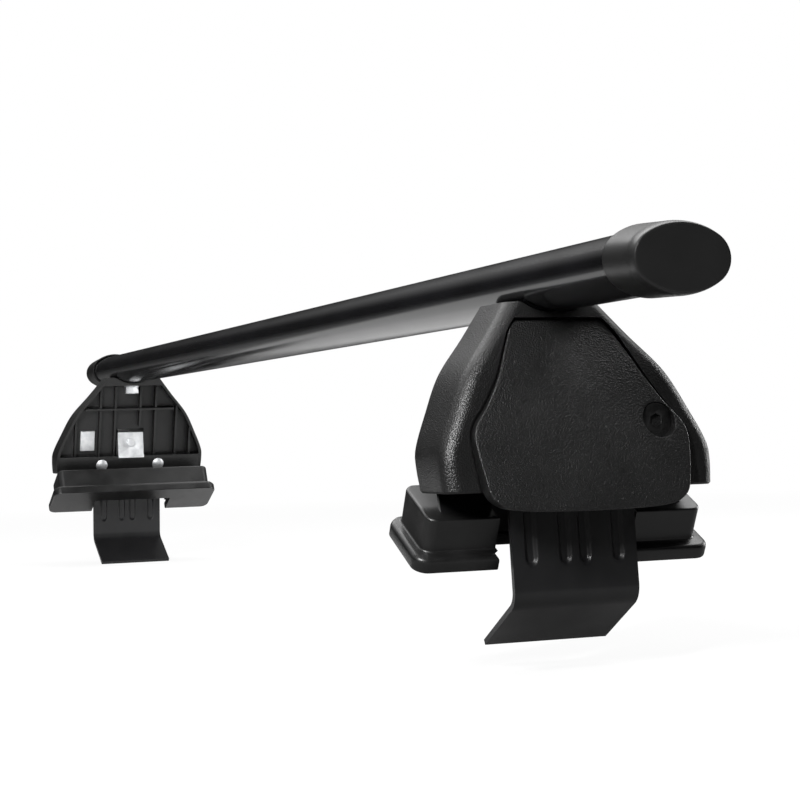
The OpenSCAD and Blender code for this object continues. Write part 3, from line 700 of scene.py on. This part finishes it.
def housing_shell():
    """The moulded shell with rounded front corners, the cover's recess, a window and the tube's seat."""
    bm = bmesh.new()
    half_at = recess_half()
    levels = [0, 1.0] + [3.0 * k for k in range(1, 20)] + [59.5, WINDOW_TOP]
    levels += [64.5 + 2.4 * k for k in range(9)] + [86.0, 87.2, 88.0, SHELF_Z]
    outer, inner = [], []
    for z in levels:
        inset = 0.9 if z == 0 else 0
        path, jamb = housing_section(z, half_at, True, side_w(z) - inset, HOUSING_ROUND - inset,
                                     front_u(z) - inset, False)
        outer.append(add_ring(bm, [(u, v, z) for u, v in path]))
        path, _ = housing_section(z, half_at, False, side_w(z) - HOUSING_WALL, HOUSING_ROUND - HOUSING_WALL,
                                  recess_u(z) - HOUSING_WALL, True)
        inner.append(add_ring(bm, [(u, v, z) for u, v in path]))
    count = len(outer[0])
    window = range(jamb, count - 1 - jamb)
    window_level = levels.index(WINDOW_TOP)
    for s in range(len(levels) - 1):
        for i in range(count - 1):
            if s < window_level and i in window:
                continue
            for rings in (outer, inner):
                bm.faces.new((rings[s][i], rings[s][i + 1], rings[s + 1][i + 1], rings[s + 1][i]))
        for i in [0, count - 1] + ([jamb, count - 1 - jamb] if s < window_level else []):
            bm.faces.new((outer[s][i], outer[s + 1][i], inner[s + 1][i], inner[s][i]))
    for i in range(count - 1):
        if i not in window:
            bm.faces.new((outer[0][i], outer[0][i + 1], inner[0][i + 1], inner[0][i]))
        else:
            s = window_level
            bm.faces.new((outer[s][i], outer[s][i + 1], inner[s][i + 1], inner[s][i]))
    bm.faces.new(inner[-1])
    # Solid top over the shelf, whose upper face is the tube's seat
    ledge, crown = [housing_section(z, half_at, False, side_w(z), HOUSING_ROUND, front_u(z), False)[0]
                    for z in (SHELF_Z, HOUSING_H)]
    previous, previous_back = outer[-1], None
    for share in (0, 0.3, 0.6, 0.85, 1):
        front, back = [], []
        for (ua, va), (ub, vb) in zip(ledge, crown):
            v = va + (vb - va) * share
            z = SHELF_Z + (saddle_top(vb) - SHELF_Z) * share
            rise = (z - SHELF_Z) / (HOUSING_H - SHELF_Z)
            front.append((ua + (ub - ua) * rise, v, z))
            back.append((back_u(z), v, z))
        front, back = add_ring(bm, front), add_ring(bm, back)
        join_rings(bm, previous, front, closed=False)
        if previous_back:
            join_rings(bm, previous_back, back, closed=False)
        previous, previous_back = front, back
    join_rings(bm, previous, previous_back, closed=False)
    bmesh.ops.remove_doubles(bm, verts=bm.verts, dist=0.002)
    bmesh.ops.dissolve_degenerate(bm, dist=0.001, edges=bm.edges)
    bmesh.ops.recalc_face_normals(bm, faces=bm.faces)
    return bm


def leaning(n, v, t):
    """A point n deep behind the back face and t up along it."""
    c, s = math.cos(BACK_LEAN), math.sin(BACK_LEAN)
    return (-HOUSING_HALF_D + n * c - t * s, v, n * s + t * c)


def add_slab(bm, n0, n1, heights, half_of):
    """A slab on the leaning back, whose two sides half_of gives for each height."""
    rings = []
    for t in heights:
        lo, hi = half_of(t)
        rings.append([leaning(n, v, t) for n, v in ((n0, lo), (n0, hi), (n1, hi), (n1, lo))])
    stack_rings(bm, rings, cap_start=True, cap_end=True)


def housing_back():
    """Web, ribs, band and the nut plate's seat inside the open back."""
    bm = bmesh.new()

    def wall_half(t, cut=1.5):
        return side_w(min(HOUSING_H, 2.4 + 0.955 * t)) - cut

    steps = [0.5] + [4.0 * k for k in range(1, 23)] + [91.5]
    add_slab(bm, RIB_DEPTH, RIB_DEPTH + HOUSING_WALL, steps, lambda t: (-wall_half(t), wall_half(t)))
    add_slab(bm, 0.02, HOUSING_WALL, [0.4, 4, 8, 12, BAND_H], lambda t: (-wall_half(t), wall_half(t)))
    add_slab(bm, 1, 1 + RIB_DEPTH, [15.5, BAND_H - 0.02], lambda t: (-wall_half(t), wall_half(t)))
    ribs = [(share * HOUSING_HALF_W, BAND_H - 1) for share in RIB_SHARES]
    ribs.append((SHORT_RIB * HOUSING_HALF_W, SHORT_RIB_LOW))
    for v, low in ribs:
        t = low
        while t < 91 and wall_half(t, 0.6) > abs(v) + RIB_T / 2:
            t += 0.5
        add_slab(bm, 2, 2 + RIB_DEPTH, [low, t], lambda t, v=v: (v - RIB_T / 2, v + RIB_T / 2))
    t = LEVEL_RIB[2] * HOUSING_H
    add_slab(bm, 1, 1 + RIB_DEPTH, [t, t + RIB_T],
             lambda t: (LEVEL_RIB[0] * HOUSING_HALF_W, LEVEL_RIB[1] * HOUSING_HALF_W))
    seat = [[(u, v, z) for u, v in ((SEAT_U, -SEAT_HALF), (SEAT_U, SEAT_HALF), (SEAT_U + 13, SEAT_HALF),
                                    (SEAT_U + 13, -SEAT_HALF))] for z in (SEAT_LOW, SEAT_HIGH)]
    stack_rings(bm, seat, cap_start=True, cap_end=True)
    bmesh.ops.recalc_face_normals(bm, faces=bm.faces)
    return bm


def housing():
    bm = housing_shell()
    softened(bm, 0.45, 2, 48)
    back = housing_back()
    softened(back, 0.3, 2, 48)
    joined = bpy.data.meshes.new("housing_back")
    back.to_mesh(joined)
    back.free()
    bm.from_mesh(joined)
    bpy.data.meshes.remove(joined)
    return bm


# Hook
FLUTE_V, FLUTE_HALF, FLUTE_END, FLUTE_DEPTH = (-24.6, -5.6, 5.6, 24.6), 3.0, -34.0, 2.0
FLUTE_EDGE, FLUTE_SLOPE, FLUTE_STRETCH = 0.8, 2.2, 0.8
CLAMP_Z, HOOK_UP, HOOK_DOWN = 30.6, 4, 16


def hook_path():
    """Centre line of the hook's outer face: (u, z, normal angle) from its top down to its tip."""
    fold = Vector((FOLD_U, -FOLD_DEPTH))
    normal_a = Vector((math.cos(HOOK_LEAN), math.sin(HOOK_LEAN)))
    normal_b = Vector((math.sin(FLANGE_SLOPE), -math.cos(FLANGE_SLOPE)))
    centre = fold - (normal_a + normal_b) * FOLD_R / (1 + normal_a.dot(normal_b))
    rows = []
    start = centre + normal_a * FOLD_R
    stops = [HOOK_TOP, bolt_slot(1), bolt_slot(0), 10.0, 0.0, -20.0]
    stops += [-30 - 0.9 * k for k in range(20)]
    for z in [s for s in stops if s > start.y + 0.5]:
        rows.append((start.x - (z - start.y) * math.tan(HOOK_LEAN), z, HOOK_LEAN))
    sweep = HOOK_LEAN + math.pi / 2 - FLANGE_SLOPE
    for k in range(15):
        a = HOOK_LEAN - sweep * k / 14
        rows.append((centre.x + FOLD_R * math.cos(a), centre.y + FOLD_R * math.sin(a), a))
    end = centre + normal_b * FOLD_R
    tip = fold - FLANGE_LENGTH * Vector((math.cos(FLANGE_SLOPE), math.sin(FLANGE_SLOPE)))
    for k in range(1, 9):
        p = end.lerp(tip, k / 8)
        rows.append((p.x, p.y, -(math.pi / 2 - FLANGE_SLOPE)))
    return rows


def bolt_slot(end):
    """Height of the slot's lower or upper end."""
    return CLAMP_Z - HOOK_UP - SLOT_HALF if end == 0 else CLAMP_Z + HOOK_DOWN + SLOT_HALF


def flute_depth_at(v, z):
    depth = 0
    for middle in FLUTE_V:
        off = abs(v - middle)
        if z < FLUTE_END:
            off = math.hypot(off, (z - FLUTE_END) * FLUTE_STRETCH)
        if off < FLUTE_HALF + FLUTE_EDGE:
            t = max(0, min(1, (FLUTE_HALF + FLUTE_EDGE - off) / FLUTE_SLOPE))
            depth = max(depth, FLUTE_DEPTH * t * t * (3 - 2 * t))
    return depth


def hook(side):
    """Pressed sheet: a leaning plate with four flutes, a round fold and a flange."""
    bm = bmesh.new()
    columns = {-HOOK_HALF_W, HOOK_HALF_W, -SLOT_HALF, SLOT_HALF, 1 - HOOK_HALF_W, HOOK_HALF_W - 1, 0.0}
    for middle in FLUTE_V:
        columns |= {round(middle + 0.55 * k, 3) for k in range(-9, 10)
                    if abs(abs(middle + 0.55 * k) - SLOT_HALF) > 0.2}
    columns = sorted(columns)
    columns = [c for i, c in enumerate(columns) if i == 0 or c - columns[i - 1] > 0.12]
    rows = hook_path()
    grids = []
    for depth in (0, HOOK_T):
        grid = []
        for u, z, a in rows:
            grid.append(add_ring(bm, [(u - (depth + flute_depth_at(v, z)) * math.cos(a), v,
                                       z - (depth + flute_depth_at(v, z)) * math.sin(a)) for v in columns]))
        grids.append(grid)
    outer, inner = grids

    def open_cell(i, k):
        return (max(abs(columns[k]), abs(columns[k + 1])) < SLOT_HALF + 0.01
                and rows[i][1] < bolt_slot(1) + 0.01 and rows[i + 1][1] > bolt_slot(0) - 0.01)

    for grid in grids:
        for i in range(len(rows) - 1):
            for k in range(len(columns) - 1):
                if not open_cell(i, k):
                    bm.faces.new((grid[i][k], grid[i][k + 1], grid[i + 1][k + 1], grid[i + 1][k]))
    for i in range(len(rows) - 1):
        for k in (0, len(columns) - 1):
            bm.faces.new((outer[i][k], outer[i + 1][k], inner[i + 1][k], inner[i][k]))
        for k in range(len(columns) - 1):
            if open_cell(i, k):
                ends = [k] if abs(columns[k] + SLOT_HALF) < 0.02 else []
                ends += [k + 1] if abs(columns[k + 1] - SLOT_HALF) < 0.02 else []
                for e in ends:
                    bm.faces.new((outer[i][e], outer[i + 1][e], inner[i + 1][e], inner[i][e]))
                for row in (([i] if not open_cell(i - 1, k) else [])
                            + ([i + 1] if not open_cell(i + 1, k) else [])):
                    bm.faces.new((outer[row][k], outer[row][k + 1], inner[row][k + 1], inner[row][k]))
    for i in (0, len(rows) - 1):
        for k in range(len(columns) - 1):
            bm.faces.new((outer[i][k], outer[i][k + 1], inner[i][k + 1], inner[i][k]))
    softened(bm, 0.5, 2, 60)
    base = node_box(f"{side}_housing")[0][2]
    tip_z = -FOLD_DEPTH - FLANGE_LENGTH * math.sin(FLANGE_SLOPE)
    drop = base + tip_z - node_box(f"{side}_hook")[0][2]
    bmesh.ops.translate(bm, vec=(0, 0, -drop), verts=bm.verts)
    return bm


# Rubber foot
def pad_outline(p0, width, half, radius):
    """Outline (p, v) of a block with rounded corners and the hook's notch in its front."""
    def corner(cp, cv, start):
        turns = [start + math.pi / 2 * k / 10 for k in range(11)]
        return [(cp + radius * math.cos(a), cv + radius * math.sin(a)) for a in turns]

    p1, notch_p = p0 + width, FLANGE_P + WEB_T
    return (corner(p1 - radius, half - radius, 0) + corner(p0 + radius, half - radius, math.pi / 2)
            + corner(p0 + radius, radius - half, math.pi) + corner(p1 - radius, radius - half, 1.5 * math.pi)
            + [(p1, -NOTCH_HALF), (notch_p, -NOTCH_HALF), (notch_p, NOTCH_HALF), (p1, NOTCH_HALF)])


def inset_loop(points, distance):
    """A closed counter-clockwise outline moved inwards with true mitres."""
    out = []
    count = len(points)
    for i, p in enumerate(points):
        a, b, c = Vector(points[i - 1]), Vector(p), Vector(points[(i + 1) % count])
        n1 = Vector((-(b - a).y, (b - a).x)).normalized()
        n2 = Vector((-(c - b).y, (c - b).x)).normalized()
        m = (n1 + n2) / (1 + n1.dot(n2))
        out.append((p[0] + distance * m.x, p[1] + distance * m.y))
    return out


def rubber_foot():
    """A moulded block on a wider flange, both with rolled edges."""
    bm = bmesh.new()
    bottom, top = RIM_Q - PAD_H, RIM_Q
    wide = pad_outline(FLANGE_P, FLANGE_W, FLANGE_HALF, 8)
    slim = pad_outline(BLOCK_P, BLOCK_W, BLOCK_HALF, 6)
    rings = []

    def eased(outline, inset):
        """The outline moved inwards, hardly at all along the straight back, where the sides lie flush."""
        back = min(p for p, v in outline)
        return [(p + (q - p) * max(0.15, min(1, (p - back) / 6)), w)
                for (p, v), (q, w) in zip(outline, inset_loop(outline, inset))]

    def add(outline, inset, q):
        rings.append([(p, v, q) for p, v in eased(outline, inset)])

    add(wide, 2.5, bottom)
    add(wide, 1.0, bottom)
    for k in range(1, 4):
        a = math.pi / 2 * k / 4
        add(wide, 1.0 * (1 - math.sin(a)), bottom + 1.0 * (1 - math.cos(a)))
    add(wide, 0, bottom + 1.0)
    roll = 2.6
    for k in range(7):
        a = math.pi / 2 * k / 6
        add(wide, roll * (1 - math.cos(a)), bottom + FLANGE_T - roll * (1 - math.sin(a)))
    fillet = 1.2
    for k in range(5):
        a = math.pi / 2 * k / 4
        rings.append([(p, v, bottom + FLANGE_T + fillet * (1 - math.cos(a)))
                      for p, v in eased(slim, -fillet * (1 - math.sin(a)))])
    rim = 1.3
    for k in range(6):
        a = math.pi / 2 * k / 5
        add(slim, rim * (1 - math.cos(a)), top - rim * (1 - math.sin(a)))
    add(slim, rim + 0.8, top)
    stack_rings(bm, rings, cap_start=True, cap_end=True)
    bmesh.ops.rotate(bm, cent=(0, 0, 0), matrix=Matrix.Rotation(PAD_TILT, 3, "Y"), verts=bm.verts)
    return bm


# Surroundings
def add_floor():
    """A pale floor that keeps the shadow and gives way to plain white further out. The light that it
    throws back comes from a painted pool of light: its colour is pale under the bar and grey around it."""
    bm = bmesh.new()
    bmesh.ops.create_grid(bm, x_segments=1, y_segments=1, size=20)
    mesh = bpy.data.meshes.new("floor")
    bm.to_mesh(mesh)
    bm.free()
    material, tree = new_material("pale_floor")
    path = add_node(tree, "ShaderNodeLightPath")
    place = add_node(tree, "ShaderNodeTexCoord")
    reach = add_node(tree, "ShaderNodeVectorMath", {"operation": "LENGTH"}, {0: place.outputs["Object"]})
    inward = add_node(tree, "ShaderNodeVectorMath", {"operation": "DISTANCE", 1: (-0.25, 0, 0)},
                      {0: place.outputs["Object"]})
    # Painted light: for every ray but the camera's, the floor's colour is pale in a pool under the bar and
    # grey around it
    painted_light_pool = add_node(tree, "ShaderNodeMapRange",
                    {"From Min": 0.35, "From Max": 0.65, "To Min": 1.0, "To Max": 0.0},
                    {"Value": inward.outputs["Value"]})
    painted_bounce = add_node(tree, "ShaderNodeBsdfDiffuse", {},
                       {"Color": blend_colours(tree, painted_light_pool.outputs["Result"], "#808080", "#e4e4e4")})
    pale = add_node(tree, "ShaderNodeBsdfDiffuse", {"Color": linear("#f4f4f4")})
    lit = add_node(tree, "ShaderNodeMixShader", {},
                   {0: path.outputs["Is Camera Ray"], 1: painted_bounce.outputs[0], 2: pale.outputs[0]})
    white = add_node(tree, "ShaderNodeEmission", {"Color": (1, 1, 1, 1), "Strength": 1.0})
    fade = add_node(tree, "ShaderNodeMapRange",
                    {"From Min": 0.7, "From Max": 2.2, "To Min": 0.88, "To Max": 1.0},
                    {"Value": reach.outputs["Value"]})
    share = add_node(tree, "ShaderNodeMath", {"operation": "MULTIPLY"},
                     {0: path.outputs["Is Camera Ray"], 1: fade.outputs["Result"]})
    mix = add_node(tree, "ShaderNodeMixShader", {},
                   {0: share.outputs[0], 1: lit.outputs[0], 2: white.outputs[0]})
    add_node(tree, "ShaderNodeOutputMaterial", {}, {"Surface": mix.outputs[0]})
    mesh.materials.append(material)
    floor = bpy.data.objects.new("floor", mesh)
    bpy.context.scene.collection.objects.link(floor)


def add_light(name, at, target, size, power):
    data = bpy.data.lights.new(name, "AREA")
    data.shape = "RECTANGLE"
    data.size, data.size_y = size
    data.energy = power
    light = bpy.data.objects.new(name, data)
    turn = (Vector(at) - Vector(target)).to_track_quat("Z", "Y").to_matrix().to_4x4()
    light.matrix_world = Matrix.Translation(at) @ turn
    bpy.context.scene.collection.objects.link(light)


def add_lights():
    """A key strip in front, a weaker strip at the far side and a wide softbox overhead. The room that
    shiny surfaces show is bright only high up behind."""
    add_light("key_strip", (1.32, -1.03, 1.09), (0.5, -0.06, 0.12), (0.12, 0.8), 42)
    add_light("side_strip", (0.1, 1.5, 0.5), (-0.2, 0, 0.12), (0.25, 0.8), 10)
    add_light("top", (-0.45, 0.3, 1.5), (0.0, 0, 0.1), (2.4, 0.9), 26)
    world = bpy.data.worlds.new("studio")
    world.use_nodes = True
    tree = world.node_tree
    tree.nodes.clear()
    path = add_node(tree, "ShaderNodeLightPath")
    place = add_node(tree, "ShaderNodeTexCoord")
    parts = add_node(tree, "ShaderNodeSeparateXYZ", {}, {0: place.outputs["Generated"]})
    ceiling = add_node(tree, "ShaderNodeMapRange",
                       {"interpolation_type": "SMOOTHSTEP", "From Min": 0.2, "From Max": 0.6,
                        "To Min": 0.02, "To Max": 0.55}, {"Value": parts.outputs["Z"]})
    behind = add_node(tree, "ShaderNodeMapRange",
                      {"interpolation_type": "SMOOTHSTEP", "From Min": 0.7, "From Max": -0.2,
                       "To Min": 0.08, "To Max": 1.0}, {"Value": parts.outputs["X"]})
    glow = add_node(tree, "ShaderNodeMath", {"operation": "MULTIPLY"},
                    {0: ceiling.outputs[0], 1: behind.outputs[0]})
    room = add_node(tree, "ShaderNodeBackground", {"Color": (1, 1, 1, 1)}, {"Strength": glow.outputs[0]})
    soft = add_node(tree, "ShaderNodeBackground", {"Color": (1, 1, 1, 1), "Strength": 0.24})
    white = add_node(tree, "ShaderNodeBackground", {"Color": (1, 1, 1, 1), "Strength": 1.0})
    seen = add_node(tree, "ShaderNodeMath", {"operation": "MAXIMUM"},
                    {0: path.outputs["Is Camera Ray"], 1: path.outputs["Is Transmission Ray"]})
    lit = add_node(tree, "ShaderNodeMixShader", {},
                   {0: path.outputs["Is Glossy Ray"], 1: soft.outputs[0], 2: room.outputs[0]})
    mix = add_node(tree, "ShaderNodeMixShader", {},
                   {0: seen.outputs[0], 1: lit.outputs[0], 2: white.outputs[0]})
    add_node(tree, "ShaderNodeOutputWorld", {}, {"Surface": mix.outputs[0]})
    bpy.context.scene.world = world


add_camera()
drawn(crossbar_tube(), "crossbar_tube", TUBE_COAT, "bar", FRAME_MATRIX)
for side in SIDES:
    foot = f"{side}_foot"
    place = foot_matrix(side)
    lock_floor = cover_u(LOCK_Z + LOCK_HEAD_R) - LOCK_SUNK
    drawn(end_cap(side), f"{side}_end_cap", CAP_PLASTIC, "bar", FRAME_MATRIX, 28)
    drawn(housing(), f"{side}_housing", HOUSING_PLASTIC, foot, place, 35)
    drawn(cover(lock_floor), f"{side}_cover", COVER_PLASTIC, f"{side}_cover", place, 40)
    drawn(rubber_foot(), f"{side}_rubber_foot", RUBBER, foot, place, 40)
    drawn(hook(side), f"{side}_hook", SHEET_COAT, f"{side}_hook", place, 50)
    dressed(f"{side}_base_bracket", SHEET_COAT, foot, 0.4)
    dressed(f"{side}_nut_plate", ZINC, foot, 0.4)
    dressed(f"{side}_lock_plate", ZINC, foot, 0.4)
    dressed(f"{side}_rivets", ZINC, foot)
    dressed(f"{side}_t_bolt", ZINC, foot)
    dressed(f"{side}_t_washer", ZINC, foot)
    dressed(f"{side}_saddle_liner", RUBBER, foot)
    dressed(f"{side}_t_nut", ZINC, f"{side}_nut", 0.3)
    dressed(f"{side}_clamp_bolt", ZINC, f"{side}_clamp", 0.3)
    dressed(f"{side}_clamp_washer", ZINC, f"{side}_clamp")
    dressed(f"{side}_lock_screw", SCREW_BLACK, f"{side}_lock", 0.3)
add_floor()
add_lights()
bpy.context.scene.view_settings.view_transform = "Standard"
